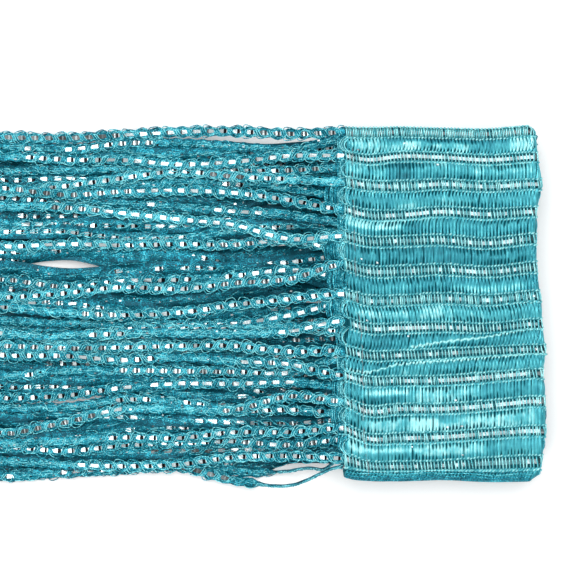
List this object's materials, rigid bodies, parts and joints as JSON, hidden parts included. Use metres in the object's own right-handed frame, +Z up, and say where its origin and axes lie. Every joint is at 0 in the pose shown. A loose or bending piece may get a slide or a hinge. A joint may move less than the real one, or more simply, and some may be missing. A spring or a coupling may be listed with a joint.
{
  "type": "string curtain",
  "caption": "String curtain put down folded: a flat woven rod-pocket heading in accordion layers, with rows of flat glittering strings running out from its lower edge.",
  "frame": {"origin": "on the surface that the curtain lies on, under the middle of its bounding box", "axes": "+X along the strings from their cut ends to the heading, +Y across the strings, +Z up"},
  "size_m": [0.332, 0.1324, 0.019],
  "materials": {
    "woven_band": "satin weave with metallic ribs",
    "glitter_yarn": "glossy yarn around a metallic strip"
  },
  "bodies": {
    "root": {"heading": "woven_band", "strings": "glitter_yarn"}
  },
  "joints": []
}
